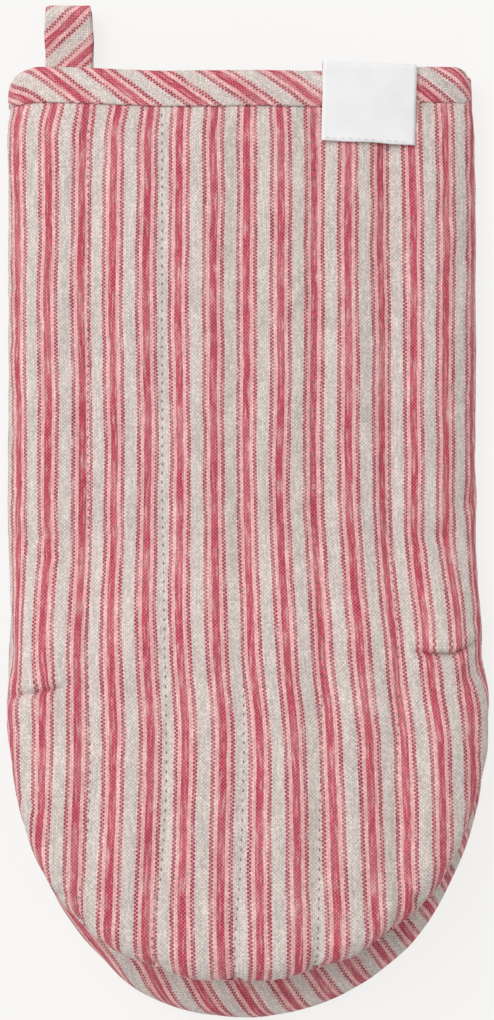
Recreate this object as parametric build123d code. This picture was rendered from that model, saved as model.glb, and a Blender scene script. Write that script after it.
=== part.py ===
"""Jaw-type oven mitt of quilted ticking, lying on its back with the jaw gaping.

A tubular cuff opens at its bound edge. At the crease it parts into a thumb lobe
above and a longer finger lobe below, and a fold of the mouth panel joins the two.
Every panel is outer cloth, batting and lining. X runs across the mitt, Y towards
the cuff's opening and Z up. The origin lies under the middle of the whole.
"""
from collections import namedtuple
import math
import os

from build123d import *

os.makedirs("parts", exist_ok=True)

# Outline of the mitt
MITT_WIDTH = 161.0            # across the side seams
CUFF_LENGTH = 202.0           # crease to bound opening
SHOULDER_LENGTH = 45.0        # of the cuff, over which it rises to the crease
FINGER_LOBE_LENGTH = 123.0    # crease to tip, back of the jaw
THUMB_LOBE_LENGTH = 97.0      # crease to tip, front of the jaw
JAW_GAPE = 14.0               # angle by which the jaw gapes at rest, degrees

# Quilted panel, from the outside in
OUTER_CLOTH = 0.8
BATTING = 3.6
LINING = 0.6
LAYER_GAP = 0.2               # clearance between two layers of a panel

# Clear heights inside, at the middle
OPENING_CLEAR = 13.2
FINGER_POCKET = 7.7
THUMB_POCKET = 10.2
MOUTH_GAP = 0.6               # between the lobes when the jaw is shut

# Inner radii along the sewn edges
OPENING_SEAM_RADIUS = 1.6
CREASE_SEAM_RADIUS = 11.0
LOBE_SEAM_RADIUS = 2.1

# Sewing
HINGE_GAP = 0.3               # between the cuff and each lobe at the crease
QUILT_PITCH = 25.8            # between the rows of quilting
QUILT_CENTRE = -1.4           # of the middle row, from the mitt's middle
QUILT_ROWS = 5
GROOVE_WIDTH = 0.9            # dent in the cloth along a row of stitches
GROOVE_DEPTH = 0.5
THREAD_WIDTH = 0.5
THREAD_TOP = 0.1              # sewing thread below the cloth's face
THREAD_BOTTOM = 0.4
SEAM_THREAD_RADIUS = 0.4
SEAM_THREAD_GAP = 0.15        # between a seam's thread and the lining
FOLD_GAP = 0.3                # between the mouth fold and the cuff's lining

# Bound edge and label
BINDING_WIDTH = 12.0
BINDING_DITCH = 0.3           # between the binding's edge and the panels' cloth
STITCH_MARGIN = 1.0           # from a sewn edge to its row of stitches
LABEL_WIDTH = 32.0
LABEL_DROP = 26.0             # below the bound edge, front and inside
LABEL_RISE = 2.4              # slack of its fold above the bound edge
LABEL_INSET = 20.9            # from the right side seam to the label's edge
LABEL_CLOTH = 0.5
LABEL_GAP = 0.2               # between the label and the panel under it

# Hanging loop
LOOP_WIDTH = 16.6
LOOP_RISE = 26.0              # above the bound edge
LOOP_INSET = 12.4             # from the left side seam to the loop's edge
LOOP_TAPE = 1.6               # one thickness of the folded tape
LOOP_NECK = 9.0               # from the eye's middle down to the closed legs
LOOP_CLEARANCE = 0.3          # between the loop's foot and the binding
EYE_RADIUS = 3.0

BATTING_TOP = OUTER_CLOTH + LAYER_GAP
BATTING_BOTTOM = BATTING_TOP + BATTING
LINING_TOP = BATTING_BOTTOM + LAYER_GAP
PANEL = LINING_TOP + LINING

OPENING_HEIGHT = 2 * PANEL + OPENING_CLEAR
FINGER_HEIGHT = 2 * PANEL + FINGER_POCKET
THUMB_HEIGHT = 2 * PANEL + THUMB_POCKET
CREASE_HEIGHT = FINGER_HEIGHT + MOUTH_GAP + THUMB_HEIGHT
OPENING_EDGE = PANEL + OPENING_SEAM_RADIUS
CREASE_EDGE = PANEL + CREASE_SEAM_RADIUS
LOBE_EDGE = PANEL + LOBE_SEAM_RADIUS

Y_CREASE = FINGER_LOBE_LENGTH - (FINGER_LOBE_LENGTH + CUFF_LENGTH + LOOP_RISE) / 2
Y_TOP = Y_CREASE + CUFF_LENGTH
Y_SHOULDER = Y_CREASE + SHOULDER_LENGTH
Y_BINDING = Y_TOP - BINDING_WIDTH
LABEL_CENTRE = MITT_WIDTH / 2 - LABEL_INSET - LABEL_WIDTH / 2
LOOP_CENTRE = LOOP_INSET + LOOP_WIDTH / 2 - MITT_WIDTH / 2
BEYOND = 2.0                  # by which a cutting body passes the end that it cuts

Lobe = namedtuple("Lobe", "base height length")
FINGER = Lobe(0.0, FINGER_HEIGHT, FINGER_LOBE_LENGTH)
THUMB = Lobe(FINGER_HEIGHT + MOUTH_GAP, THUMB_HEIGHT, THUMB_LOBE_LENGTH)
HINGE = Axis((0, Y_CREASE, CREASE_HEIGHT), (-1, 0, 0))


def outline(y, height, edge, depth, base=0.0, half=False):
    """Cross-section at y, flat below and crowned above, drawn in by depth.

    Its sides are arcs of radius edge, tangent to the flat and to the crown. A half
    outline is the right-hand side only, closed along the middle.
    """
    flat = MITT_WIDTH / 2 - edge
    crown = (flat**2 + height**2 - 2 * height * edge) / (2 * (height - 2 * edge))
    side = edge - depth
    end = math.atan2(edge - height + crown, flat)
    middle = (end - math.pi / 2) / 2

    def on_side(sign, angle):
        return (sign * (flat + side * math.cos(angle)), y, base + edge + side * math.sin(angle))

    foot, top = base + depth, base + height - depth
    right = ThreePointArc((flat, y, foot), on_side(1, middle), on_side(1, end))
    if half:
        turn = (math.pi / 2 + end) / 2
        on_crown = ((crown - depth) * math.cos(turn), y,
                    base + height - crown + (crown - depth) * math.sin(turn))
        return make_face([Line((0, y, foot), (flat, y, foot)), right,
                          ThreePointArc(on_side(1, end), on_crown, (0, y, top)),
                          Line((0, y, top), (0, y, foot))])
    left = ThreePointArc(on_side(-1, end), on_side(-1, middle), (-flat, y, foot))
    return make_face([Line((-flat, y, foot), (flat, y, foot)), right,
                      ThreePointArc(on_side(1, end), (0, y, top), on_side(-1, end)), left])


def cuff_size(y):
    """Height and edge radius of the cuff, which is even up to its shoulder and then rises."""
    along = min(1.0, (y - Y_CREASE) / SHOULDER_LENGTH)
    return (CREASE_HEIGHT + along * (OPENING_HEIGHT - CREASE_HEIGHT),
            CREASE_EDGE + along * (OPENING_EDGE - CREASE_EDGE))


def cuff_section(y, depth):
    return outline(y, *cuff_size(y), depth)


def cuff(depth, y_from, y_to):
    stations = [y_from, Y_SHOULDER, y_to] if y_from < Y_SHOULDER < y_to else [y_from, y_to]
    return loft([cuff_section(y, depth) for y in stations], ruled=True)


def cuff_layer(outer, inner, y_from, y_to):
    """Tube of the cuff between two depths."""
    return cuff(outer, y_from, y_to) - cuff(inner, y_from - BEYOND, y_to + BEYOND)


def lobe(shape, depth, past=0.0):
    """Rounded lobe of the jaw, from the crease to its half-round tip."""
    start = Y_CREASE - HINGE_GAP + past
    centre = Y_CREASE - shape.length + MITT_WIDTH / 2
    size = (centre, shape.height, LOBE_EDGE, depth, shape.base)
    straight = extrude(outline(*size), amount=start - centre, dir=(0, 1, 0))
    tip = revolve(outline(*size, half=True), Axis((0, centre, 0), (0, 0, -1)), 180)
    return straight + tip


def lobe_layer(shape, outer, inner):
    """Shell of a lobe between two depths, open at the crease."""
    return lobe(shape, outer) - lobe(shape, inner, BEYOND)


def upper_space(*seam):
    """All that lies above a seam, given as points (y, z) along the mitt."""
    high = 6 * CREASE_HEIGHT
    points = [(0, seam[0][0], high), *((0, y, z) for y, z in seam), (0, seam[-1][0], high)]
    return extrude(make_face(Polyline(*points, close=True)), amount=MITT_WIDTH, dir=(1, 0, 0),
                   both=True)


def above(body, space):
    return body & space


def below(body, space):
    return body - space


def quilt_rows(width, y_from, y_to):
    """Upright slabs along the rows of quilting."""
    middle = (QUILT_ROWS - 1) / 2
    slab = Box(width, y_to - y_from, 6 * CREASE_HEIGHT)
    return [Pos(QUILT_CENTRE + (row - middle) * QUILT_PITCH, (y_from + y_to) / 2, 0) * slab
            for row in range(QUILT_ROWS)]


def quilted(cloth, skin, y_from, y_to):
    """Cloth dented along its rows of stitches. skin(a, b) is its shell between two depths."""
    for slab in quilt_rows(GROOVE_WIDTH, y_from - BEYOND, y_to + BEYOND):
        cloth = cloth - (slab & skin(-GROOVE_DEPTH, GROOVE_DEPTH))
    return cloth


def quilting(skin, side, y_from, y_to):
    """Threads lying in the dents, on one side of the seam."""
    shell = side(skin(THREAD_TOP, THREAD_BOTTOM))
    return [slab & shell for slab in quilt_rows(THREAD_WIDTH, y_from, y_to)]


def lobe_seam(shape):
    """Thread that runs around a lobe inside its pocket."""
    centre = Y_CREASE - shape.length + MITT_WIDTH / 2
    reach = MITT_WIDTH / 2 - PANEL - SEAM_THREAD_GAP - SEAM_THREAD_RADIUS
    plane = Plane((reach, centre, shape.base + LOBE_EDGE), x_dir=(1, 0, 0), z_dir=(0, 1, 0))
    end = plane * Circle(SEAM_THREAD_RADIUS)
    leg = extrude(end, amount=Y_CREASE - BEYOND - centre, dir=(0, 1, 0))
    bend = revolve(end, Axis((0, centre, 0), (0, 0, -1)), 180)
    return leg + bend + mirror(leg, about=Plane.YZ)


def side_seam(sign):
    """Thread that runs along one side of the cuff inside, from behind the mouth fold."""
    reach = sign * (MITT_WIDTH / 2 - PANEL - SEAM_THREAD_GAP - SEAM_THREAD_RADIUS)
    start, bend, end = (Vector(reach, y, cuff_size(y)[1])
                        for y in (Y_CREASE + 2 * PANEL, Y_SHOULDER, Y_BINDING))
    thread = Pos(bend) * Sphere(SEAM_THREAD_RADIUS)
    for tip in (start, end):
        way = tip - bend
        thread += extrude(Plane(bend, z_dir=way) * Circle(SEAM_THREAD_RADIUS), amount=way.length)
    return thread


def gaping(point):
    """A point of the shut thumb lobe, (y, z), moved to where the gaping jaw has it."""
    angle = math.radians(JAW_GAPE)
    dy, dz = point[0] - Y_CREASE, point[1] - CREASE_HEIGHT
    return (Y_CREASE + dy * math.cos(angle) + dz * math.sin(angle),
            CREASE_HEIGHT - dy * math.sin(angle) + dz * math.cos(angle))


def mouth_fold(outer, inner):
    """One layer of the fold in which the mouth panel turns from lobe to lobe."""
    middle = FINGER_HEIGHT + MOUTH_GAP / 2
    near, far = MOUTH_GAP / 2 + outer, MOUTH_GAP / 2 + inner
    meet = Y_CREASE
    upper_near = gaping((meet, THUMB.base + outer))
    upper_far = gaping((meet, THUMB.base + inner))

    def at(y, z):
        return (0, y, z)

    profile = make_face([
        ThreePointArc(at(Y_CREASE, middle - far), at(Y_CREASE + far, middle),
                      at(Y_CREASE, middle + far)),
        Line(at(Y_CREASE, middle + far), at(*upper_far)),
        Line(at(*upper_far), at(*upper_near)),
        Line(at(*upper_near), at(Y_CREASE, middle + near)),
        ThreePointArc(at(Y_CREASE, middle + near), at(Y_CREASE + near, middle),
                      at(Y_CREASE, middle - near)),
        Line(at(Y_CREASE, middle - near), at(Y_CREASE, middle - far))])
    roll = extrude(profile, amount=MITT_WIDTH / 2, dir=(1, 0, 0), both=True)
    return roll & cuff(PANEL + FOLD_GAP, Y_CREASE - 4 * PANEL, Y_SHOULDER)


def hanging_loop():
    """Tape folded into an eye above two closed legs, rounded at its foot."""
    z = EYE_RADIUS + LOOP_TAPE + LOOP_CLEARANCE
    foot = Y_TOP + LOOP_CLEARANCE + LOOP_TAPE
    eye = Y_TOP + LOOP_RISE - LOOP_TAPE - EYE_RADIUS
    neck = eye - LOOP_NECK
    bulb = EYE_RADIUS + LOOP_TAPE
    lean = math.asin((bulb - LOOP_TAPE) / LOOP_NECK)
    corner_eye = (eye - bulb * math.sin(lean), bulb * math.cos(lean))
    corner_neck = (neck - LOOP_TAPE * math.sin(lean), LOOP_TAPE * math.cos(lean))
    taper = make_face(Polyline((corner_eye[0], z + corner_eye[1]),
                               (corner_neck[0], z + corner_neck[1]),
                               (corner_neck[0], z - corner_neck[1]),
                               (corner_eye[0], z - corner_eye[1]), close=True))
    outer = (Pos(eye, z) * Circle(bulb) + taper + Pos(neck, z) * Circle(LOOP_TAPE)
             + Pos((foot + neck) / 2, z) * Rectangle(neck - foot, 2 * LOOP_TAPE)
             + Pos(foot, z) * Circle(LOOP_TAPE))
    tape = Plane.YZ * (outer - Pos(eye, z) * Circle(EYE_RADIUS))
    return Pos(LOOP_CENTRE, 0, 0) * extrude(tape, amount=LOOP_WIDTH / 2, both=True)


def save(name, body):
    solids = [body] if not isinstance(body, list) else body
    solids = [solid for item in solids for solid in item.solids()]
    export_step(solids[0] if len(solids) == 1 else Compound(children=solids), f"parts/{name}.step")


# Cuff: front above the side seams, back below them
cuff_seam = upper_space(*((y, cuff_size(y)[1])
                          for y in (Y_CREASE - BEYOND, Y_SHOULDER, Y_TOP + LOOP_RISE)))
y_cloth = Y_BINDING - BINDING_DITCH


def cuff_skin(outer, inner):
    return cuff_layer(outer, inner, Y_CREASE, y_cloth)


cuff_cloth = cuff_skin(0, OUTER_CLOTH)
cuff_batting = cuff_layer(BATTING_TOP, BATTING_BOTTOM, Y_CREASE, Y_TOP - BATTING_TOP)
cuff_lining = cuff_layer(LINING_TOP, PANEL, Y_CREASE, y_cloth)
stitch_from, stitch_to = Y_CREASE + STITCH_MARGIN, y_cloth - STITCH_MARGIN
for side, keep in (("front", above), ("back", below)):
    cloth = quilted(keep(cuff_cloth, cuff_seam), cuff_skin, Y_CREASE, y_cloth)
    save(f"{side}_cloth_cuff", cloth)
    save(f"{side}_batting_cuff", keep(cuff_batting, cuff_seam))
    save(f"{side}_lining_cuff", keep(cuff_lining, cuff_seam))
    save(f"{side}_quilting_cuff",
         quilting(cuff_skin, lambda body: keep(body, cuff_seam), stitch_from, stitch_to))
save("side_seam_left", side_seam(-1))
save("side_seam_right", side_seam(1))

# Bound edge with its row of stitches
hollow = cuff_layer(OUTER_CLOTH, LINING_TOP, Y_BINDING - BEYOND, Y_TOP - OUTER_CLOTH)
binding = cuff_layer(0, PANEL, Y_BINDING, Y_TOP) - hollow
stitch = Y_BINDING + STITCH_MARGIN
dent = cuff_layer(-GROOVE_DEPTH, GROOVE_DEPTH, stitch - GROOVE_WIDTH / 2, stitch + GROOVE_WIDTH / 2)
save("opening_binding", binding - dent)
save("binding_stitching", cuff_layer(THREAD_TOP, THREAD_BOTTOM, stitch - THREAD_WIDTH / 2,
                                     stitch + THREAD_WIDTH / 2))

# Bare label folded over the bound edge
y_label = Y_TOP - LABEL_DROP
y_fold = Y_TOP + LABEL_RISE
strip = Pos(LABEL_CENTRE, y_fold, 0) * Box(LABEL_WIDTH, 4 * LABEL_DROP, 6 * CREASE_HEIGHT)
covered = cuff_layer(-LABEL_GAP, PANEL + LABEL_GAP, y_label - BEYOND, y_fold - LABEL_CLOTH)
wrap = cuff_layer(-LABEL_GAP - LABEL_CLOTH, PANEL + LABEL_GAP + LABEL_CLOTH, y_label, y_fold)
save("label", above((wrap - covered) & strip, cuff_seam))
face = LABEL_GAP + LABEL_CLOTH + THREAD_TOP
stitch = y_label + STITCH_MARGIN
sewn = Pos(LABEL_CENTRE, stitch, 0) * Box(LABEL_WIDTH - 2 * STITCH_MARGIN, THREAD_WIDTH,
                                          6 * CREASE_HEIGHT)
row = cuff_layer(-face - THREAD_BOTTOM + THREAD_TOP, -face, stitch - BEYOND, stitch + BEYOND)
save("label_stitching", above(row & sewn, cuff_seam))

# Fold at the back of the mouth
save("mouth_fold_cloth", mouth_fold(0, OUTER_CLOTH))
save("mouth_fold_batting", mouth_fold(BATTING_TOP, BATTING_BOTTOM))
save("mouth_fold_lining", mouth_fold(LINING_TOP, PANEL))

# Lobes of the jaw: the thumb's front panel faces up, the fingers' back panel down
for name, shape, face_name, keep_face, keep_mouth in (
        ("thumb", THUMB, "front", above, below), ("finger", FINGER, "back", below, above)):
    height = shape.base + LOBE_EDGE
    seam = upper_space((Y_CREASE - 2 * shape.length, height), (Y_TOP, height))
    gape = JAW_GAPE if name == "thumb" else 0.0

    def skin(outer, inner):
        return lobe_layer(shape, outer, inner)

    def place(body):
        return [solid.rotate(HINGE, gape) for solid in body.solids()]

    tip = Y_CREASE - shape.length
    layers = {"cloth": skin(0, OUTER_CLOTH), "batting": skin(BATTING_TOP, BATTING_BOTTOM),
              "lining": skin(LINING_TOP, PANEL)}
    for layer, body in layers.items():
        save(f"mouth_{layer}_{name}", place(keep_mouth(body, seam)))
        panel = keep_face(body, seam)
        if layer == "cloth":
            panel = quilted(panel, skin, tip, Y_CREASE)
        save(f"{face_name}_{layer}_{name}", place(panel))
    rows = quilting(skin, lambda body: keep_face(body, seam), tip, Y_CREASE - STITCH_MARGIN)
    save(f"{face_name}_quilting_{name}", [solid for row in rows for solid in place(row)])
    save(f"{name}_seam_thread", place(lobe_seam(shape)))

save("hanging_loop", hanging_loop())
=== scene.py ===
"""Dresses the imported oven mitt: quilted ticking, bias binding, loop, bare label and stitches.

Lengths in the shape functions are millimetres in the mitt's own frame: x across, y towards the
opening, z up from the table. A panel is cut flat, as cloth is: a runs across it from the middle
and b down it from its upper edge. shaped() lays a point of that cut onto the padded mitt.
"""
from collections import namedtuple
import math

import bmesh
import bpy
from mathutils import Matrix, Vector, noise


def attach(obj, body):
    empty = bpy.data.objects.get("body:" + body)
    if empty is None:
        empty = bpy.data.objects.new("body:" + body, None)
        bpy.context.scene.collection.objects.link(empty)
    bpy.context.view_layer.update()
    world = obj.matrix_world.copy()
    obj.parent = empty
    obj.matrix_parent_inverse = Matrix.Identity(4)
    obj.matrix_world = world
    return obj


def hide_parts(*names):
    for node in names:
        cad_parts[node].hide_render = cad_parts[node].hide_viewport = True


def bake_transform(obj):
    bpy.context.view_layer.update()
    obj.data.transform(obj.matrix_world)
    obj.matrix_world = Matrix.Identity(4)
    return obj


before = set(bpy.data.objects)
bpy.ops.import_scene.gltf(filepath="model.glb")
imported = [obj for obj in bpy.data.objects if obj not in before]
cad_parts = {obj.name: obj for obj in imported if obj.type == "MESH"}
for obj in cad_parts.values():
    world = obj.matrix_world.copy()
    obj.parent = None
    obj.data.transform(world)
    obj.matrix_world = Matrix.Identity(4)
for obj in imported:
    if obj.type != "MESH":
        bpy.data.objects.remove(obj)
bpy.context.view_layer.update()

MM = 0.001
# The mitt's outline, as in the solids: the opening at Y_TOP, the jaw's creases at Y_CREASE.
HALF_WIDTH = 80.5
Y_TOP = 149.5
Y_CREASE = -52.5
SHOULDER = 45.0
FINGER_LENGTH, THUMB_LENGTH = 123.0, 97.0
# Heights of the padded sections, and the radius of their rounded sides.
OPENING_HEIGHT, OPENING_EDGE = 24.0, 7.0
CREASE_HEIGHT, CREASE_EDGE = 40.1, 18.4
FINGER_HEIGHT, THUMB_BASE, THUMB_HEIGHT, LOBE_EDGE = 18.5, 19.1, 21.0, 7.5
GAPE = math.radians(14.0)
PANEL = 5.0
BINDING = 12.0
UNDER_BINDING = Y_TOP - 1.5
MOUTH_TOP = Y_CREASE + 8
MOUTH_BIAS, MOUTH_STRIPES_AT = 38, 8.3

ROW_GAP = 25.8
QUILT_ROWS = [-1.4 + ROW_GAP * row for row in (-2, -1, 0, 1, 2)]
FAR_FROM_ROWS = 13.0
STITCH_PITCH = 3.05
# Length and thickness of a stitch.
QUILTING_STITCH, BINDING_STITCH, LABEL_STITCH = (1.0, 0.42), (1.7, 0.42), (1.4, 0.25)
LABEL_STITCH_PITCH = 2.6

# Relief of the quilted cloth, as heights or as (height, width).
PUFF, GROOVE, VALLEY = 0.5, (0.8, 2.0), (1.0, 7.0)
SEAM_ROLL, SEAM_DIP = (0.5, 6.0), (0.5, 1.5)
LINING_DRAWN = (1.6, 4.0)
PUFF_CAP, PUFF_FRAMES = 2.0, 20

# Thickness of each tape, and how far the stripes of the bias tapes fall, in degrees.
BINDING_TAPE, LOOP_TAPE, LABEL_TAPE = 0.5, 1.3, 0.4
BINDING_SLOPE, LOOP_SLOPE, LOOP_STRIPES_AT = 35, 42, 2.7
TAPE_EDGE, STITCH_INSET, TABLE_GAP = 1.2, 1.2, 0.3
LOOP_CENTRE, LOOP_WIDTH = -59.8, 16.6
LOOP_EYE, LOOP_Z, LOOP_BULB, LOOP_NECK, LOOP_HALF = 170.9, 4.9, 3.8, 9.0, 0.85
LABEL_CENTRE, LABEL_WIDTH, LABEL_DROP, LABEL_RISE = 43.6, 32.0, 25.4, 2.4
LABEL_FOLD, LABEL_LIES, LABEL_HEM = 3.6, 1.3, 1.0
LABEL_TURN = math.radians(1.4)

Section = namedtuple("Section", "base height edge flat crown end")
Panel = namedtuple("Panel", "section_at over start length gaping rows bias puffs")
Tuck = namedtuple("Tuck", "side y slope level reach depth")
TUCK_RIGHT = Tuck(side=1, y=-42.6, slope=-0.33, level=12, reach=19, depth=1.4)
TUCK_LEFT = Tuck(side=-1, y=-60.5, slope=0.17, level=HALF_WIDTH, reach=14, depth=1.0)
TUCK_FADE = 11


def ease(t):
    t = max(0.0, min(1.0, t))
    return t * t * (3 - 2 * t)


def between(a, b, t):
    return a + (b - a) * t


def hump(t):
    """A smooth bump: 1 at 0, and close to 0 from 2 on."""
    return math.exp(-t * t)


def ripple(height, *place):
    """Smooth irregular rise and fall, as in cloth that isn't ironed."""
    return height * noise.noise(Vector(place))


def section(base, height, edge):
    """A padded cross-section: flat below, crowned above, round at its sides."""
    flat = HALF_WIDTH - edge
    crown = (flat**2 + height**2 - 2 * height * edge) / (2 * (height - 2 * edge))
    return Section(base, height, edge, flat, crown, math.atan2(edge - height + crown, flat))


def opening_to_lobe(y):
    """How far the cut at y has turned from the cuff, 0, to the lobes, 1."""
    return ease((MOUTH_TOP - y) / 22)


def cuff_size(y):
    along = ease((y - Y_CREASE) / SHOULDER)
    return between(CREASE_HEIGHT, OPENING_HEIGHT, along), between(CREASE_EDGE, OPENING_EDGE, along)


def front_section(y):
    (height, edge), turn = cuff_size(y), opening_to_lobe(y)
    base = between(0, THUMB_BASE, turn)
    top = between(height, THUMB_BASE + THUMB_HEIGHT, turn)
    return section(base, top - base, between(edge, LOBE_EDGE, turn))


def back_section(y):
    (height, edge), turn = cuff_size(y), opening_to_lobe(y)
    return section(0, between(height, FINGER_HEIGHT, turn), between(edge, LOBE_EDGE, turn))


def mouth_upper_section(y):
    seam = front_section(y).base + front_section(y).edge
    base = min(THUMB_BASE, seam - 0.2)
    return section(base, 3 * (seam - base), seam - base)


def mouth_lower_section(y):
    seam = back_section(y).edge
    edge = 0.68 * (FINGER_HEIGHT - seam) + 0.02
    return section(seam - edge, FINGER_HEIGHT - seam + edge, edge)


FRONT = Panel(front_section, over=True, start=UNDER_BINDING, length=THUMB_LENGTH, gaping=True,
              rows=True, bias=0, puffs=True)
BACK = Panel(back_section, over=False, start=UNDER_BINDING, length=FINGER_LENGTH, gaping=False,
             rows=True, bias=0, puffs=False)
MOUTH_UPPER = Panel(mouth_upper_section, over=False, start=MOUTH_TOP, length=THUMB_LENGTH,
                    gaping=True, rows=False, bias=MOUTH_BIAS, puffs=False)
MOUTH_LOWER = Panel(mouth_lower_section, over=True, start=MOUTH_TOP, length=FINGER_LENGTH,
                    gaping=False, rows=False, bias=-MOUTH_BIAS, puffs=False)


def half_cut(panel, at):
    """Half the width of the flat cut, from the middle to the seam."""
    if panel.over:
        return at.crown * (math.pi / 2 - at.end) + at.edge * at.end
    return at.flat + at.edge * math.pi / 2


def across(panel, at, s):
    """Place and outward direction, (r, z, nr, nz), at s from the middle of the cut."""
    if panel.over:
        crown_half = at.crown * (math.pi / 2 - at.end)
        if s <= crown_half:
            turn = s / at.crown
            sine, cosine = math.sin(turn), math.cos(turn)
            return (at.crown * sine, at.base + at.height - at.crown * (1 - cosine), sine, cosine)
        angle = at.end - (s - crown_half) / at.edge
    elif s <= at.flat:
        return s, at.base, 0.0, -1.0
    else:
        angle = (s - at.flat) / at.edge - math.pi / 2
    cosine, sine = math.cos(angle), math.sin(angle)
    return at.flat + at.edge * cosine, at.base + at.edge * (1 + sine), cosine, sine


def tip_centre(panel):
    return Y_CREASE - panel.length + HALF_WIDTH


def row_distance(panel, a):
    return min(abs(a - row) for row in QUILT_ROWS) if panel.rows else FAR_FROM_ROWS


def relief(panel, a, b, from_seam):
    """How far the padded cloth stands proud, in mm: puffed between rows, drawn in at seams."""
    gap = row_distance(panel, a)
    height = PUFF - GROOVE[0] * hump(gap / GROOVE[1]) - VALLEY[0] * hump(gap / VALLEY[1])
    height += SEAM_ROLL[0] * math.exp(-from_seam / SEAM_ROLL[1])
    height -= SEAM_DIP[0] * math.exp(-from_seam / SEAM_DIP[1])
    height += ripple(0.40, a / 16, b / 26, 3.1 * panel.length)
    height += ripple(0.35 * math.exp(-gap / 6), a / 5, b / 4.5, 7.7)
    height += ripple(0.25 * math.exp(-from_seam / 7), a / 8, b / 9, 1.3)
    if panel.rows:
        held_by_binding = 0.3 * ease(b / 9) - 0.45
        height = between(held_by_binding, height, ease((b - BINDING + 1) / 8))
    return height if panel.over else min(height, 0.0) - 0.1


def tuck(x, y):
    """The fold pinched in where a side seam ends, nearness to it and height above its line."""
    fold = TUCK_RIGHT if x > 0 else TUCK_LEFT
    inward = HALF_WIDTH - abs(x)
    line = fold.y + fold.slope * min(inward, fold.level)
    return fold, 1 - ease((inward - fold.reach) / TUCK_FADE), y - line


def tuck_shift(x, y):
    """How the front's cloth moves at the folds, (y, z): a lip over a groove, then a swell."""
    fold, near, above = tuck(x, y)
    near *= fold.depth
    overhang = 1.3 * hump((above - 1.8) / 1.6)
    lip, groove = 1.3 * hump((above - 2.6) / 2.0), 2.4 * hump((above + 0.4) / 1.4)
    swell = 0.9 * hump((above + 5) / 3.5)
    return -near * overhang, near * (lip - groove + swell)


def thumb_waist(y):
    """Where the thumb lobe is drawn in, halfway down."""
    return hump((y + 92) / 26)


def thumb_end(y):
    """From 0 to 1 over the thumb lobe's rounded end."""
    return ease((-114 - y) / 24)


def thumb_tip(y):
    """The same for the tip's lean to the left."""
    return ease((-115 - y) / 25)


def set_over(panel, point):
    """Carries a point to where the mitt lies: lobes lean and taper, the opening dips."""
    x, y, z = point
    if panel.gaping:
        x *= 1 - 0.03 * thumb_waist(y) + 0.035 * thumb_end(y)
        lean = -1.8 * ease((-75 - y) / 70) - 1.0 * thumb_tip(y)
        reach = 1.2 * ease((-70 - y) / 80)
    else:
        x *= 1 - 0.06 * ease((-85 - y) / 45) * (1 - 0.7 * ease((-155 - y) / 16))
        lean = 0.7 * ease((-80 - y) / 50) - 2.6 * ease((-150 - y) / 25)
        reach = -0.8 * ease((-120 - y) / 50)
    x -= math.copysign(0.9, x) * ease((abs(x) - 70) / 10) * hump((y + 32) / 24)
    # The end of the right seam draws the outline in, and the lobe swells out below it.
    x -= ease((x - 66) / 14) * (0.9 * hump((y + 49) / 4.5) - 0.4 * hump((y + 60) / 6))
    lean += 0.3 + 2.0 * ease((10 - y) / 75) - 0.7 * ease((y - 90) / 50) * ease(x / 60)
    return Vector((x + lean, y - reach + opening_dip(x, y), z))


def opening_dip(x, y):
    """Rise of the opening's edge towards its sides, and its fall at the rounded corners."""
    corner = 3.4 * ease((-x - 69) / 13) + 2.0 * ease((x - 74) / 8)
    side = 3.7 * ease((abs(x) - 20) / 60) - 1.5
    return side * ease((y - 70) / 80) - corner * ease((y - 130) / 18)


def bend(point):
    """Turns a point of the shut jaw's thumb lobe up to the gape that it rests at."""
    angle = GAPE * ease((Y_CREASE + 10 - point.y) / 26)
    dy, dz = point.y - Y_CREASE, point.z - CREASE_HEIGHT
    return Vector((point.x, Y_CREASE + dy * math.cos(angle) + dz * math.sin(angle),
                   CREASE_HEIGHT - dy * math.sin(angle) + dz * math.cos(angle)))


def shaped(panel, a, b, depth=None):
    """The place on the mitt, in mm, of a point of a panel's flat cut.

    Without depth it lies on the relief of the outer cloth, and otherwise that deep inside.
    """
    straight = panel.start - tip_centre(panel)
    y = panel.start - min(b, straight)
    at = panel.section_at(y)
    reach = math.hypot(a, max(0.0, b - straight))
    s = reach if b > straight else abs(a)
    r, z, out, up = across(panel, at, s)
    way = Vector((math.copysign(1.0, a), 0.0))
    if b > straight and reach > 1e-6:
        way = Vector((a / reach, -(b - straight) / reach))
    point = Vector((r * way.x, y + r * way.y, z))
    normal = Vector((out * way.x, out * way.y, up))
    point += normal * (relief(panel, a, b, half_cut(panel, at) - s) if depth is None else -depth)
    if panel is FRONT:
        down, rise = tuck_shift(point.x, point.y)
        point += max(normal.z, 0.0) * Vector((0, down, rise))
    point = set_over(panel, point)
    return bend(point) if panel.gaping else point


def cut_point(panel, u, w):
    """Point (a, b) of the flat cut for u across and w down, each from -1 to 1."""
    straight = panel.start - tip_centre(panel)
    tip = half_cut(panel, panel.section_at(tip_centre(panel)))
    down = (1 - w) / 2 * (straight + tip)
    if down <= straight:
        return u * half_cut(panel, panel.section_at(panel.start - down)), down
    v = (down - straight) / tip
    return tip * u * math.sqrt(1 - v * v / 2), straight + tip * v * math.sqrt(1 - u * u / 2)


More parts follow.
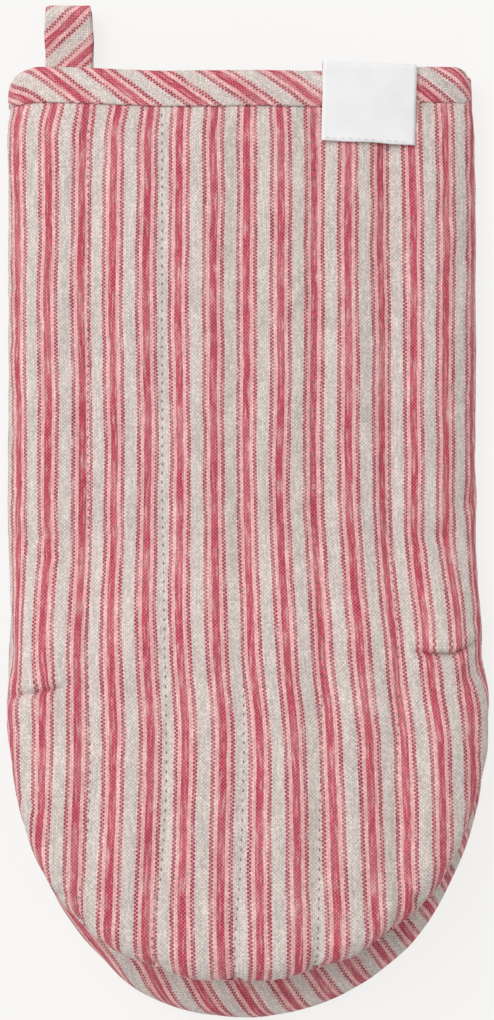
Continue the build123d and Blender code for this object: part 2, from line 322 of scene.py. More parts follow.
def stripe_place(panel, a, b):
    """Where a point of the cut lies in the woven cloth: quilting takes up a little at each row."""
    if panel.bias:
        turn = math.radians(panel.bias)
        a -= MOUTH_STRIPES_AT
        return a * math.cos(turn) + b * math.sin(turn), b * math.cos(turn) - a * math.sin(turn)
    y = panel.start - b
    taken_up = between(0.25, 0.1, ease((b - 190) / 30))
    gathered = taken_up * sum(math.tanh((a - row) / 2.0) for row in QUILT_ROWS)
    wave = ripple(0.9, a / 30, b / 50, 5.0) + ripple(0.3, a / 9, b / 17, 2.0)
    slant = 1.8 * (1 - ease((b - BINDING + 3) / 13)) * ease((10 - a) / 60)
    place = a * (1 - 0.022 * ease((b - 140) / 50) - 0.03 * ease((b - 205) / 90))
    if panel is FRONT:
        place *= 1 - 0.03 * thumb_waist(y) + 0.02 * thumb_end(y)
        place -= 1.5 * ease((b - 195) / 30) + 2.2 * ease((b - 215) / 80) + thumb_tip(y)
        fold, near, above = tuck(a, y)
        place += 1.3 * fold.side * near * math.exp(-max(above, 0) / 8) * ease((above + 1) / 1.5)
    return place + gathered + wave - slant, b


def finish_mesh(name, bm, materials):
    mesh = bpy.data.meshes.new(name)
    bm.to_mesh(mesh)
    bm.free()
    for material in materials:
        mesh.materials.append(material)
    for face in mesh.polygons:
        face.use_smooth = True
    piece = bpy.data.objects.new(name, mesh)
    bpy.context.scene.collection.objects.link(piece)
    return piece


def write_cloth_map(bm, places):
    """UV map of the weave, in metres of cloth."""
    layer = bm.loops.layers.uv.new("cloth")
    for face in bm.faces:
        for loop in face.loops:
            loop[layer].uv = Vector(places[loop.vert]) * MM


def flat_cut(panel, step):
    """The panel's cloth before sewing, flat in mm, with points along each quilting row."""
    straight = panel.start - tip_centre(panel)
    tip = half_cut(panel, panel.section_at(tip_centre(panel)))
    bm = bmesh.new()
    bmesh.ops.create_grid(bm, x_segments=int(2 * tip / step),
                          y_segments=int((straight + tip) / step), size=1.0)
    for vert in bm.verts:
        vert.co = (*cut_point(panel, vert.co.x, vert.co.y), 0)
    for row in QUILT_ROWS if panel.rows else ():
        bmesh.ops.bisect_plane(bm, geom=bm.verts[:] + bm.edges[:] + bm.faces[:], dist=0.3 * step,
                               plane_co=(row, 0, 0), plane_no=(1, 0, 0), use_snap_center=True)
    return bm


def puff(piece, sewn):
    """Lets the cloth between its sewn lines swell and pucker, and keeps that in the mesh."""
    piece.vertex_groups.new(name="sewn").add(sewn, 1.0, "REPLACE")
    swell = piece.modifiers.new("puff", "CLOTH")
    swell.settings.quality = 5
    swell.settings.mass = 0.002
    swell.settings.tension_stiffness = swell.settings.compression_stiffness = 4.0
    swell.settings.shear_stiffness = 2.0
    swell.settings.bending_stiffness = 0.02
    swell.settings.vertex_group_mass = "sewn"
    swell.settings.shrink_min = -0.006
    swell.settings.use_pressure = True
    swell.settings.uniform_pressure_force = 4.0
    swell.settings.effector_weights.gravity = 0.0
    swell.point_cache.frame_start, swell.point_cache.frame_end = 1, PUFF_FRAMES
    for step in range(1, PUFF_FRAMES + 1):
        bpy.context.scene.frame_set(step)
    swollen = piece.evaluated_get(bpy.context.evaluated_depsgraph_get()).data
    moves = [after.co - vert.co for vert, after in zip(piece.data.vertices, swollen.vertices)]
    piece.modifiers.remove(swell)
    for vert, move in zip(piece.data.vertices, moves):
        vert.co += move * min(1.0, PUFF_CAP * MM / max(move.length, 1e-9))
    bpy.context.scene.frame_set(1)


def make_panel(name, panel, step, materials):
    """A closed quilted panel: outer cloth, lining side and the rim between them."""
    bm = flat_cut(panel, step)
    flat = [tuple(vert.co.xy) for vert in bm.verts]
    places = {vert: stripe_place(panel, *ab) for vert, ab in zip(bm.verts, flat)}
    for vert, ab in zip(bm.verts, flat):
        vert.co = shaped(panel, *ab) * MM
    write_cloth_map(bm, places)
    bm.normal_update()
    middle = min(bm.faces, key=lambda face: abs(face.calc_center_median().x))
    if (middle.normal.z > 0) != panel.over:
        bmesh.ops.reverse_faces(bm, faces=bm.faces[:])
    sewn = [vert.index for vert, (a, b) in zip(bm.verts, flat)
            if vert.is_boundary or row_distance(panel, a) < 0.01 or b < BINDING and panel.rows]
    piece = finish_mesh(name, bm, materials)
    if panel.puffs:
        puff(piece, sewn)
    bm = bmesh.new()
    bm.from_mesh(piece.data)
    outer = list(bm.verts)
    copy = bmesh.ops.duplicate(bm, geom=bm.verts[:] + bm.edges[:] + bm.faces[:])
    inner_faces = [g for g in copy["geom"] if isinstance(g, bmesh.types.BMFace)]
    for face in inner_faces:
        face.material_index = 1
    bmesh.ops.reverse_faces(bm, faces=inner_faces)
    for vert, (a, b) in zip(outer, flat):
        drawn = LINING_DRAWN[0] * math.exp(-row_distance(panel, a) / LINING_DRAWN[1])
        copy["vert_map"][vert].co = shaped(panel, a, b, PANEL - drawn) * MM
    bmesh.ops.bridge_loops(bm, edges=[e for e in bm.edges if e.is_boundary])
    bmesh.ops.recalc_face_normals(bm, faces=bm.faces[:])
    bm.to_mesh(piece.data)
    bm.free()
    for face in piece.data.polygons:
        face.use_smooth = True
    piece.vertex_groups.clear()
    return piece


# Along a stitch in its lengths, above the cloth in its thicknesses, and its share of thickness.
STITCH_KNOTS = ((-0.5, -0.3, 0.6), (-0.25, 0.35, 1.0), (0.25, 0.35, 1.0), (0.5, -0.3, 0.6))


def make_stitches(name, places, length, width, material):
    """Short stitches that rise out of the cloth and go back in. places are (point, way, up)."""
    thread = bpy.data.curves.new(name, "CURVE")
    thread.dimensions = "3D"
    thread.bevel_depth, thread.bevel_resolution = width / 2 * MM, 1
    thread.use_fill_caps = True
    for point, way, up in places:
        stitch = thread.splines.new("POLY")
        stitch.points.add(3)
        for knot, (along, rise, thick) in zip(stitch.points, STITCH_KNOTS):
            knot.co = (*((point + way * along * length + up * rise * width) * MM), 1.0)
            knot.radius = thick
    spool = bpy.data.objects.new(name, thread)
    bpy.context.scene.collection.objects.link(spool)
    bm = bmesh.new()
    bm.from_mesh(spool.evaluated_get(bpy.context.evaluated_depsgraph_get()).to_mesh())
    bpy.data.objects.remove(spool)
    bpy.data.curves.remove(thread)
    bmesh.ops.remove_doubles(bm, verts=bm.verts[:], dist=1e-7)
    bmesh.ops.recalc_face_normals(bm, faces=bm.faces[:])
    return finish_mesh(name, bm, [material])


def quilting_points(panel):
    """Places of the stitches along a panel's rows of quilting."""
    points = []
    up = Vector((0, 0, 1 if panel.over else -1))
    straight = panel.start - tip_centre(panel)
    tip = half_cut(panel, panel.section_at(tip_centre(panel)))
    for row in QUILT_ROWS:
        b, last = BINDING + 1.5, straight + math.sqrt(tip**2 - row**2) - 2
        while b < last:
            here, ahead = shaped(panel, row, b), shaped(panel, row, b + 1)
            points.append((here, (ahead - here).normalized(), up))
            b += STITCH_PITCH
    return points


def srgb(code):
    """Linear colour of an sRGB hex value."""
    parts = [int(code[i:i + 2], 16) / 255 for i in (0, 2, 4)]
    return [p / 12.92 if p <= 0.04045 else ((p + 0.055) / 1.055) ** 2.4 for p in parts] + [1.0]


def node(tree, kind, inputs, out=0, **settings):
    """Adds a shader node with its inputs, by number or name, and gives one of its outputs."""
    made = tree.nodes.new("ShaderNode" + kind)
    for key, value in settings.items():
        setattr(made, key, value)
    for key, value in inputs.items():
        if isinstance(value, bpy.types.NodeSocket):
            tree.links.new(value, made.inputs[key])
        else:
            made.inputs[key].default_value = value
    return made.outputs[out]


def new_material(name, roughness, sheen):
    material = bpy.data.materials.new(name)
    material.use_nodes = True
    shader = material.node_tree.nodes["Principled BSDF"]
    shader.inputs["Roughness"].default_value = roughness
    shader.inputs["Sheen Weight"].default_value = sheen
    shader.inputs["Sheen Roughness"].default_value = 0.5
    shader.inputs["IOR"].default_value = 1.45
    shader.inputs["Specular IOR Level"].default_value = 0.25
    return material, material.node_tree, shader


# Woven in natural and red yarn: a broad red line between two fine ones, then a plain stripe.
# Yarns are about 0.6 mm, as the dots of the weave show.
REPEAT, YARNS = 11.6, 19
YARN = REPEAT / YARNS
# A stripe's colour where its yarns lie over the weft, and where they dip under it: there the weft
# shows through, mixed with painted shade of the gaps between yarns.
BROAD, PINK, FINE = ("DD6074", "8C3C49"), ("F3B8B7", "D69F9E"), ("8E3543", "EFA5AC")
EDGE, PLAIN = ("E2C9C3", "C9B1AC"), ("DED2CB", "C4B8B2")
# The first yarn of each stripe in a repeat, counted from the middle of the broad line.
STRIPES = ((0, BROAD), (2, PINK), (4, FINE), (6, EDGE), (7, PLAIN), (12, EDGE), (13, FINE),
           (15, PINK), (17, BROAD))
WEFT = "DACFC6"
# Thick and thin lengths of yarn, and lengths where the dye has washed out: mm across and along.
SLUB, WASHED = (0.8, 8.0), (5.0, 22.0)


def ticking_linen(name, yarns_aside):
    """Matt linen: plain weave, uneven yarns, red lines in the warp crossed by natural weft. The
    gaps between yarns carry painted shade, and each yarn is painted darker at its sides.

    yarns_aside is where the stripes start across the cloth, in yarns.
    """
    material, tree, shader = new_material(name, 0.9, 0.08)
    place = node(tree, "UVMap", {}, uv_map="cloth")
    cloth = node(tree, "VectorMath", {0: place, "Scale": 1000.0}, operation="SCALE")
    yarns = node(tree, "VectorMath", {0: cloth, "Scale": 1 / YARN}, operation="SCALE")
    crossing = node(tree, "VectorMath", {0: yarns}, operation="FLOOR")
    warp = node(tree, "SeparateXYZ", {0: crossing}, 0)
    weft = node(tree, "SeparateXYZ", {0: crossing}, 1)
    centre = node(tree, "Math", {0: warp, 1: 0.5 + yarns_aside}, operation="ADD")
    repeat = node(tree, "Math", {0: node(tree, "Math", {0: centre, 1: YARNS}, operation="DIVIDE")},
                  operation="FRACT")
    over_and_shaded_under = [node(tree, "ValToRGB", {0: repeat}) for _ in range(2)]
    for which, lines in enumerate(over_and_shaded_under):
        ramp = lines.node.color_ramp
        ramp.interpolation = "CONSTANT"
        while len(ramp.elements) < len(STRIPES):
            ramp.elements.new(0.5)
        for stop, (start, codes) in zip(ramp.elements, STRIPES):
            stop.position, stop.color = start / YARNS, srgb(codes[which])
    both = node(tree, "Math", {0: warp, 1: weft}, operation="ADD")
    weft_up = node(tree, "Math", {0: both, 1: 2.0}, operation="FLOORED_MODULO")
    chance = node(tree, "TexWhiteNoise", {"Vector": crossing}, 1, noise_dimensions="2D")
    chance_dip = node(tree, "SeparateXYZ", {0: chance}, 0)
    chance_light = node(tree, "SeparateXYZ", {0: chance}, 1)
    cover = node(tree, "Math", {0: chance_dip, 1: 0.4, 2: 0.6}, operation="MULTIPLY_ADD")
    drawn_out = node(tree, "VectorMath", {0: cloth, 1: (1 / SLUB[0], 1 / SLUB[1], 1.0)},
                     operation="MULTIPLY")
    slub = node(tree, "TexNoise", {"Vector": drawn_out, "Scale": 1.0, "Detail": 2.0},
                noise_dimensions="2D")
    thin = node(tree, "Math", {0: slub, 1: -1.7, 2: 0.82}, operation="MULTIPLY_ADD", use_clamp=True)
    # The dip colour shows where the weft lies on top: weft mixed with painted shade of the gap.
    dip_and_gap_shade = node(tree, "Math", {0: weft_up, 1: cover}, operation="MULTIPLY")
    warps = node(tree, "MixRGB", {0: dip_and_gap_shade, 1: over_and_shaded_under[0], 2: over_and_shaded_under[1]})
    woven = node(tree, "MixRGB", {0: thin, 1: warps, 2: srgb(WEFT)})
    lengths = node(tree, "VectorMath", {0: cloth, 1: (1 / WASHED[0], 1 / WASHED[1], 1.0)},
                   operation="MULTIPLY")
    washed = node(tree, "TexNoise", {"Vector": lengths, "Scale": 1.0, "Detail": 1.0},
                  noise_dimensions="2D")
    paler = node(tree, "Math", {0: washed, 1: 0.5, 2: -0.21}, operation="MULTIPLY_ADD",
                 use_clamp=True)
    woven = node(tree, "MixRGB", {0: paler, 1: woven, 2: srgb(WEFT)})
    bleached = node(tree, "Math", {0: washed, 1: 0.22, 2: 0.89}, operation="MULTIPLY_ADD")
    light = node(tree, "Math", {0: chance_light, 1: 0.32, 2: 0.84}, operation="MULTIPLY_ADD")
    uneven = node(tree, "Math", {0: slub, 1: -0.4, 2: 1.2}, operation="MULTIPLY_ADD")
    across_yarn = node(tree, "Math", {0: node(tree, "SeparateXYZ", {0: yarns}, 0), 1: 0.5},
                       operation="PINGPONG")
    along_yarn = node(tree, "Math", {0: node(tree, "SeparateXYZ", {0: yarns}, 1), 1: 0.5},
                      operation="PINGPONG")
    ridge = node(tree, "MixRGB", {0: weft_up, 1: across_yarn, 2: along_yarn})
    # Painted shade: each yarn is lighter on its crown and darker at its edges, scaling the colour
    # from 0.85 to 1.15.
    painted_yarn_shade = node(tree, "Math", {0: ridge, 1: 0.6, 2: 0.85}, operation="MULTIPLY_ADD")
    toned = node(tree, "VectorMath", {0: woven, "Scale": light}, operation="SCALE")
    for part in (uneven, bleached, painted_yarn_shade):
        toned = node(tree, "VectorMath", {0: toned, "Scale": part}, operation="SCALE")
    tree.links.new(toned, shader.inputs["Base Color"])
    height = node(tree, "Math", {0: slub, 1: 0.8, 2: ridge}, operation="MULTIPLY_ADD")
    tree.links.new(node(tree, "Bump", {"Strength": 0.6, "Distance": 0.16 * MM, "Height": height}),
                   shader.inputs["Normal"])
    return material


def plain_weave(name, code, yarn, roughness, contrast):
    """One-colour cloth or tape: crossing yarns, in mm, each a little lighter or darker."""
    material, tree, shader = new_material(name, roughness, 0.1)
    place = node(tree, "UVMap", {}, uv_map="cloth")
    yarns = node(tree, "VectorMath", {0: place, "Scale": 1000.0 / yarn}, operation="SCALE")
    crossing = node(tree, "VectorMath", {0: yarns}, operation="FLOOR")
    speck = node(tree, "TexWhiteNoise", {"Vector": crossing}, noise_dimensions="2D")
    # Soft clouds of tone, one to about 33 yarns.
    cloud = node(tree, "TexNoise", {"Vector": yarns, "Scale": 0.03, "Detail": 3.0},
                 noise_dimensions="2D")
    light = node(tree, "Math", {0: speck, 1: contrast, 2: 1 - contrast}, operation="MULTIPLY_ADD")
    uneven = node(tree, "Math", {0: cloud, 1: 0.16, 2: 0.92}, operation="MULTIPLY_ADD")
    shade = node(tree, "Math", {0: light, 1: uneven}, operation="MULTIPLY")
    toned = node(tree, "MixRGB", {0: shade, 1: [c * 0.3 for c in srgb(code)], 2: srgb(code)})
    tree.links.new(toned, shader.inputs["Base Color"])
    across_yarn = node(tree, "Math", {0: node(tree, "SeparateXYZ", {0: yarns}, 0), 1: 0.5},
                       operation="PINGPONG")
    along_yarn = node(tree, "Math", {0: node(tree, "SeparateXYZ", {0: yarns}, 1), 1: 0.5},
                      operation="PINGPONG")
    ridges = node(tree, "Math", {0: across_yarn, 1: along_yarn}, operation="ADD")
    tree.links.new(node(tree, "Bump", {"Strength": 0.35, "Distance": yarn * 0.25 * MM,
                                       "Height": ridges}), shader.inputs["Normal"])
    return material


# A real thread turns about every 0.5 mm. That is too fine to show, so it is drawn coarser, in mm.
TWIST = 6.28


def sewing_thread(name, code):
    """Spun polyester thread: twisted, with a slight lustre. The twist is painted as darker bands of
    shade, with a matching bump.
    """
    material, tree, shader = new_material(name, 0.65, 0.1)
    place = node(tree, "TexCoord", {}, "Object")
    # A diagonal wave of scale 1 has 10 radians to a metre.
    twist = node(tree, "TexWave", {"Vector": place, "Scale": math.tau / 10 / (TWIST * MM),
                                   "Distortion": 1.0}, 1, bands_direction="DIAGONAL")
    # Painted shade of the twist: the colour falls to three quarters in each band.
    tone = node(tree, "MixRGB", {0: twist, 1: srgb(code), 2: [c * 0.75 for c in srgb(code)]})
    tree.links.new(tone, shader.inputs["Base Color"])
    tree.links.new(node(tree, "Bump", {"Strength": 0.4, "Distance": 0.05 * MM, "Height": twist}),
                   shader.inputs["Normal"])
    return material


# Front and back: washed linen, plain woven of undyed and red yarn. Matt, with a dotted weave and
# yarns of uneven thickness and dye. The dots and the yarns' rounding are partly painted shade.
ticking = ticking_linen("red and natural ticking linen", yarns_aside=16)
# Mouth, binding and loop: the same cloth, with its stripes running aslant.
bias_ticking = ticking_linen("ticking linen cut on the bias", yarns_aside=0)
# Inside: unbleached cotton, plain woven of 0.5 mm yarn. Matt and warm, with fine specks.
lining = plain_weave("natural cotton lining", "CFC4B5", yarn=0.5, roughness=0.92, contrast=0.25)
# Label: white polyester satin. Smooth, with a soft sheen. Its yarn of about 0.1 mm is too fine to
# show and is drawn at 0.3 mm.
label_tape = plain_weave("white satin tape", "F5F4F5", yarn=0.3, roughness=0.6, contrast=0.05)
# Quilting, binding and seams: spun polyester thread with a slight lustre. Its taupe is darker than
# the natural thread, painted shade of the needle holes between stitches.
quilt_thread = sewing_thread("thread darkened as painted needle-hole shade", "95877E")
# Label: the same thread in white.
white_thread = sewing_thread("white sewing thread", "EFEEEE")

# The third value is the mesh step in mm, finest where the camera looks.
front = make_panel("front_panel", FRONT, 1.3, [ticking, lining])
back = make_panel("back_panel", BACK, 1.9, [ticking, lining])
mouth_upper = make_panel("mouth_panel_upper", MOUTH_UPPER, 2.2, [bias_ticking, lining])
mouth_lower = make_panel("mouth_panel_lower", MOUTH_LOWER, 1.7, [bias_ticking, lining])
front_stitches = make_stitches("front_quilting", quilting_points(FRONT), *QUILTING_STITCH,
                               quilt_thread)
back_stitches = make_stitches("back_quilting", quilting_points(BACK), *QUILTING_STITCH,
                              quilt_thread)


def opening_loop(s, depth):
    """Point (x, z) and direction (nx, nz) on the cuff's opening, s from 0 to 1 around."""
    at = section(0, OPENING_HEIGHT, OPENING_EDGE)
    low, high = half_cut(BACK, at), half_cut(FRONT, at)
    way = (s * 2 if s <= 0.5 else (1 - s) * 2) * (low + high)
    x, z, out, up = across(BACK, at, way) if way <= low else across(FRONT, at, low + high - way)
    side = 1 if s <= 0.5 else -1
    return side * (x - out * depth), z - up * depth, side * out, up


def thickened(name, bm, material, thickness):
    """A tape of a little thickness from a laid-out sheet."""
    bmesh.ops.recalc_face_normals(bm, faces=bm.faces[:])
    piece = finish_mesh(name, bm, [material])
    thick = piece.modifiers.new("cloth", "SOLIDIFY")
    thick.thickness, thick.offset = thickness * MM, 0.0
    return piece


def on_bias(x, y, slope):
    """Place in the weave of a tape whose stripes fall by slope degrees from left to right."""
    turn = math.radians(slope)
    return x * math.sin(turn) + y * math.cos(turn), x * math.cos(turn) - y * math.sin(turn)


def edge_wave(s):
    """Unevenness of the binding's edge at s of 0 to 1 around."""
    return ripple(0.35, s * 45, 2.0, 4.0)


def binding_draw(x):
    """The tape is drawn a little tight over the right end of the opening."""
    return 0.8 * ease(x / 70)


def make_binding():
    """Bias tape folded over the cuff's edge: outside, round the top and down the inside."""
    at = section(0, OPENING_HEIGHT, OPENING_EDGE)
    around = 2 * (half_cut(BACK, at) + half_cut(FRONT, at))
    bm = bmesh.new()
    bmesh.ops.create_grid(bm, x_segments=260, y_segments=40, size=1.0)
    places = {}
    for vert in bm.verts:
        s, t = (vert.co.x + 1) / 2, (vert.co.y + 1) / 2
        seam_s = s if s < 1 else 0.0
        up_tape = t * (2 * BINDING + PANEL)
        angle = seam_s * math.tau
        crease = ripple(0.22, math.sin(angle) * 12, math.cos(angle) * 12, t * 4)
        if up_tape < BINDING:
            y = Y_TOP - BINDING + up_tape + edge_wave(seam_s) * (1 - t)
            swell = math.sin(math.pi * min(1.0, (up_tape + TAPE_EDGE) / (BINDING + TAPE_EDGE)))
            depth = crease - 0.85 * swell + 0.9 * ease((up_tape - BINDING + 2.5) / 2.5)
        elif up_tape < BINDING + PANEL:
            turn = (up_tape - BINDING) / PANEL
            y = Y_TOP + 0.5 * math.sin(math.pi * turn) + edge_wave(seam_s) * (1 - t)
            depth = between(0.75, PANEL - 0.3, turn) + crease
        else:
            y = Y_TOP - (up_tape - BINDING - PANEL)
            depth = PANEL + 0.35 + crease
        _, _, out, up = opening_loop(seam_s, 0)
        depth = max(depth, TABLE_GAP) if up < -0.9 else depth + 0.9 * abs(out)
        x, z, _, _ = opening_loop(seam_s, depth)
        y += opening_dip(x, y)
        x -= binding_draw(x)
        places[vert] = on_bias(-s * around, up_tape, BINDING_SLOPE)
        vert.co = Vector((x, y, max(z, TABLE_GAP))) * MM
    ends = [vert for vert in bm.verts if vert.is_boundary]
    write_cloth_map(bm, places)
    bmesh.ops.remove_doubles(bm, verts=ends, dist=1e-6)
    return thickened("opening_binding_tape", bm, bias_ticking, BINDING_TAPE), around


def loop_path():
    """Middle line (y, z) of the folded tape: up the lower leg, round the eye and down again."""
    legs = [(Y_TOP - 8, 1.5), (Y_TOP - 2, 1.5), (Y_TOP + 1.5, 0.6), (Y_TOP + 4, 0.0),
            (LOOP_EYE - LOOP_NECK, 0.0)]
    lower = [(y, LOOP_Z - LOOP_HALF + rise) for y, rise in legs]
    upper = [(y, LOOP_Z + LOOP_HALF + rise) for y, rise in reversed(legs)]
    eye = [(LOOP_EYE + LOOP_BULB * math.sin(turn), LOOP_Z - LOOP_BULB * math.cos(turn))
           for turn in [math.radians(d) for d in range(-10, 191, 20)]]
    return lower + eye + upper


def make_loop():
    """Hanging loop: bias tape folded to a narrow band, its ends sewn inside the bound edge."""
    line = bpy.data.curves.new("loop line", "CURVE")
    line.dimensions = "3D"
    line.resolution_u = 6
    path = loop_path()
    spline = line.splines.new("NURBS")
    spline.points.add(len(path) - 1)
    for point, (y, z) in zip(spline.points, path):
        point.co = (LOOP_CENTRE * MM, y * MM, z * MM, 1.0)
    spline.order_u, spline.use_endpoint_u = 3, True
    holder = bpy.data.objects.new("loop line", line)
    bpy.context.scene.collection.objects.link(holder)
    traced = holder.evaluated_get(bpy.context.evaluated_depsgraph_get()).to_mesh()
    trace = [vert.co / MM for vert in traced.vertices]
    bpy.data.objects.remove(holder)
    bpy.data.curves.remove(line)
    lengths = [0.0]
    for one, two in zip(trace, trace[1:]):
        lengths.append(lengths[-1] + (two - one).length)
    bm = bmesh.new()
    bmesh.ops.create_grid(bm, x_segments=12, y_segments=len(trace) - 1, size=1.0)
    places = {}
    for vert in bm.verts:
        step = round((vert.co.y + 1) / 2 * (len(trace) - 1))
        point, far = trace[step], lengths[step]
        from_fold = abs(far - lengths[-1] / 2)
        narrow = 0.8 * ease(1 - from_fold / 14) + 1.1 * ease(1 - from_fold / 4.5) ** 2
        narrow += ripple(0.4, far / 7, 1.5, 0.2)
        across_tape = vert.co.x * (LOOP_WIDTH / 2 - max(narrow, -0.2))
        places[vert] = on_bias(vert.co.x * LOOP_WIDTH / 2, far + LOOP_STRIPES_AT, LOOP_SLOPE)
        lift = ripple(0.25, across_tape / 6, far / 6, 8.0)
        vert.co = Vector((LOOP_CENTRE + across_tape, point.y, point.z + lift)) * MM
    write_cloth_map(bm, places)
    return thickened("hanging_loop_tape", bm, bias_ticking, LOOP_TAPE), lengths[-1]


def under_label(x):
    """Height of the front's crown at the opening."""
    at = section(0, OPENING_HEIGHT, OPENING_EDGE)
    return across(FRONT, at, at.crown * math.asin(x / at.crown))[1]


def on_label(x, y, z):
    """The label is sewn on a little askew."""
    dx, dy = x - LABEL_CENTRE, y - Y_TOP
    return Vector((x + dy * math.sin(LABEL_TURN), y - dx * math.sin(LABEL_TURN), z))


def label_lift(x, far):
    """How far the label's loose hem stands up, far from its lower end."""
    return 0.3 * ease(1 - far / 6) * (1 + ripple(1.0, x / 9, 0.3, 6.0))


def make_label():
    """Bare satin tape folded over the bound edge, loose at its lower end."""
    inside = LABEL_DROP - 6
    fold = math.pi * LABEL_FOLD
    length = LABEL_DROP + fold + inside
    high, low = 1.5, -PANEL - 1.2
    bm = bmesh.new()
    bmesh.ops.create_grid(bm, x_segments=26, y_segments=72, size=1.0)
    places = {}
    for vert in bm.verts:
        x, far = LABEL_CENTRE + vert.co.x * LABEL_WIDTH / 2, (vert.co.y + 1) / 2 * length
        lie = under_label(x)
        if far < LABEL_DROP:
            y = Y_TOP - LABEL_DROP + far
            z = lie + between(LABEL_LIES, high, ease((y - Y_TOP + BINDING + 4) / 4))
            z += label_lift(x, far)
        elif far < LABEL_DROP + fold:
            turn = (far - LABEL_DROP) / fold * math.pi
            y = Y_TOP + LABEL_RISE * math.sin(turn)
            z = lie + between(high, low, (1 - math.cos(turn)) / 2)
        else:
            y = Y_TOP - (far - LABEL_DROP - fold)
            z = lie + low
        places[vert] = (x, far)
        sway = ripple(0.3, far / 9, 3.0, 1.0) * vert.co.x
        y += ripple(0.35, x / 10, 5.0, 2.0) * (1 - ease((far - 4) / 8))
        # The fold over the bound edge is bowed.
        y += 0.4 * math.cos(x / 10) if far > 20 else 0.0
        vert.co = on_label(x + sway, y, z) * MM
    write_cloth_map(bm, places)
    return thickened("bare_label_tape", bm, label_tape, LABEL_TAPE), length


def binding_stitch_places(around):
    """Stitches along the bound edge's outer hem, front and back, but for what the label covers."""
    places = []
    count = int(around / STITCH_PITCH)
    for n in range(count):
        s = (n + 0.5) / count
        x, z, out, up = opening_loop(s, 0.1 if 0.25 < s < 0.75 else 0.3)
        if up > 0 and abs(x - LABEL_CENTRE) < LABEL_WIDTH / 2 + 1:
            continue
        ahead = opening_loop(s + 0.001, 0.1)
        way = Vector((ahead[0] - x, 0, ahead[1] - z)).normalized()
        y = Y_TOP - BINDING + STITCH_INSET
        point = Vector((x - binding_draw(x), y + opening_dip(x, y), max(z, TABLE_GAP)))
        places.append((point, way, Vector((out, 0, up))))
    return places


def label_stitch_places():
    """Stitches along the label's lower hem."""
    places = []
    x = LABEL_CENTRE - LABEL_WIDTH / 2 + 2
    while x < LABEL_CENTRE + LABEL_WIDTH / 2 - 1.5:
        z = under_label(x) + LABEL_LIES + 0.25 + label_lift(x, LABEL_HEM)
        point = on_label(x, Y_TOP - LABEL_DROP + LABEL_HEM, z)
        places.append((point, Vector((1, 0, 0)), Vector((0, 0, 1))))
        x += LABEL_STITCH_PITCH
    return places


binding, binding_around = make_binding()
loop, loop_length = make_loop()
label, label_length = make_label()
binding_stitches = make_stitches("binding_stitches", binding_stitch_places(binding_around),
                                 *BINDING_STITCH, quilt_thread)
label_stitches = make_stitches("label_stitches", label_stitch_places(), *LABEL_STITCH, white_thread)

# The photograph's height and the lens's focal length, in its pixels.
PHOTO_HEIGHT, FOCAL = 1020, 1711
camera = bpy.data.objects.new("camera", bpy.data.cameras.new("camera"))
bpy.context.scene.collection.objects.link(camera)
camera.data.sensor_width = 36.0
camera.data.lens = 36.0 * FOCAL / PHOTO_HEIGHT
camera.location = (0.002, 0.0, 0.6)
bpy.context.scene.camera = camera

for name, place, size, power in (("softbox", (-0.66, 0.62, 1.26), 1.1, 14.6),
                                 ("fill", (0.6, -0.3, 1.1), 1.2, 1.2)):
    lamp = bpy.data.lights.new(name, "AREA")
    lamp.size, lamp.energy = size, power
    light = bpy.data.objects.new(name, lamp)
    light.location = place
    light.rotation_euler = (-Vector(place)).to_track_quat("-Z", "Y").to_euler()
    bpy.context.scene.collection.objects.link(light)

world = bpy.data.worlds.new("studio")
world.use_nodes = True
world.node_tree.nodes["Background"].inputs["Color"].default_value = (1, 1, 1, 1)
world.node_tree.nodes["Background"].inputs["Strength"].default_value = 0.5
bpy.context.scene.world = world

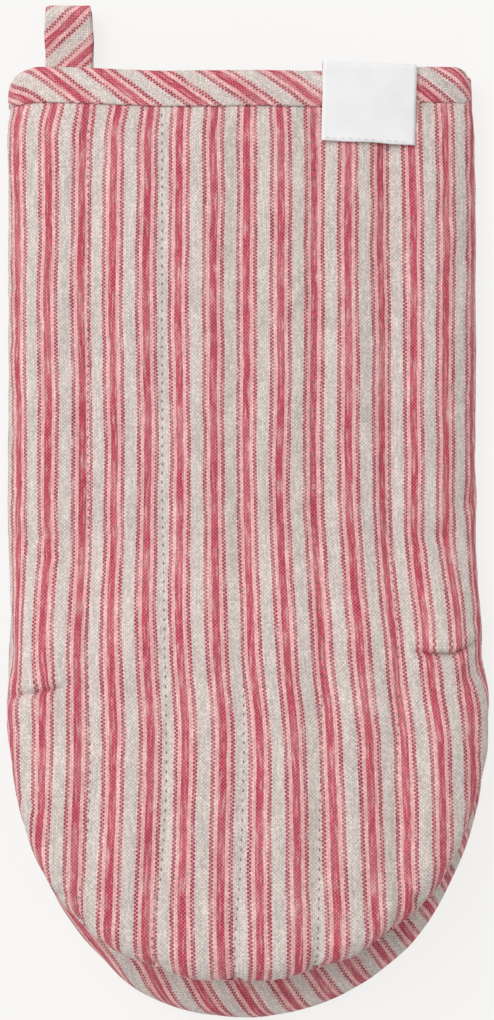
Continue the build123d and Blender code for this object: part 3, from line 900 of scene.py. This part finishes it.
# Matt white paper, lit so evenly that the mitt's shadow is faint on it.
PAPER, EVENNESS, FLOOR_DROP = srgb("F9F8F6"), 0.85, 0.4
paper, tree, shader = new_material("matt paper sweep", 0.95, 0.0)
shader.inputs["Base Color"].default_value = PAPER
seen = node(tree, "Math", {0: node(tree, "LightPath", {}, "Is Camera Ray"),
                           1: node(tree, "LightPath", {}, "Is Glossy Ray")}, operation="MAXIMUM")
pale = node(tree, "Math", {0: seen, 1: EVENNESS}, operation="MULTIPLY")
glow = node(tree, "Emission", {0: PAPER, 1: 1.0})
faded = node(tree, "MixShader", {0: pale, 1: shader.outputs[0], 2: glow})
tree.links.new(faded, tree.nodes["Material Output"].inputs[0])
bm = bmesh.new()
bmesh.ops.create_grid(bm, x_segments=4, y_segments=4, size=4.0)
bmesh.ops.translate(bm, vec=(0, 0, -FLOOR_DROP * MM), verts=bm.verts[:])
floor = finish_mesh("floor", bm, [paper])

bpy.context.scene.view_settings.view_transform = "Standard"

for piece, nodes, other in (
        (front, ["front_cloth_cuff", "front_batting_cuff", "front_lining_cuff", "front_cloth_thumb",
                 "front_batting_thumb", "front_lining_thumb"], "thumb_lobe"),
        (back, ["back_cloth_cuff", "back_batting_cuff", "back_lining_cuff", "back_cloth_finger",
                "back_batting_finger", "back_lining_finger"], "finger_lobe"),
        (mouth_upper, ["mouth_cloth_thumb", "mouth_batting_thumb", "mouth_lining_thumb"],
         "thumb_lobe"),
        (mouth_lower, ["mouth_cloth_finger", "mouth_batting_finger", "mouth_lining_finger",
                       "mouth_fold_cloth", "mouth_fold_batting", "mouth_fold_lining"],
         "finger_lobe"),
        (front_stitches, ["front_quilting_cuff", "front_quilting_thumb"], "thumb_lobe"),
        (back_stitches, ["back_quilting_cuff", "back_quilting_finger"], "finger_lobe")):
    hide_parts(*nodes)
    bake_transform(piece)
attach(binding, "cuff")
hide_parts("opening_binding")
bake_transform(loop)
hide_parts("hanging_loop")
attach(label, "cuff")
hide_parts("label")
for stitches, node_name, slot in ((binding_stitches, "binding_stitching", "sewing_thread"),
                                  (label_stitches, "label_stitching", "white_thread")):
    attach(stitches, "cuff")
    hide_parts(node_name)
for name in ("side_seam_left", "side_seam_right", "thumb_seam_thread", "finger_seam_thread"):
    seam = bpy.data.objects[name]
    seam.data.materials.clear()
    seam.data.materials.append(quilt_thread)
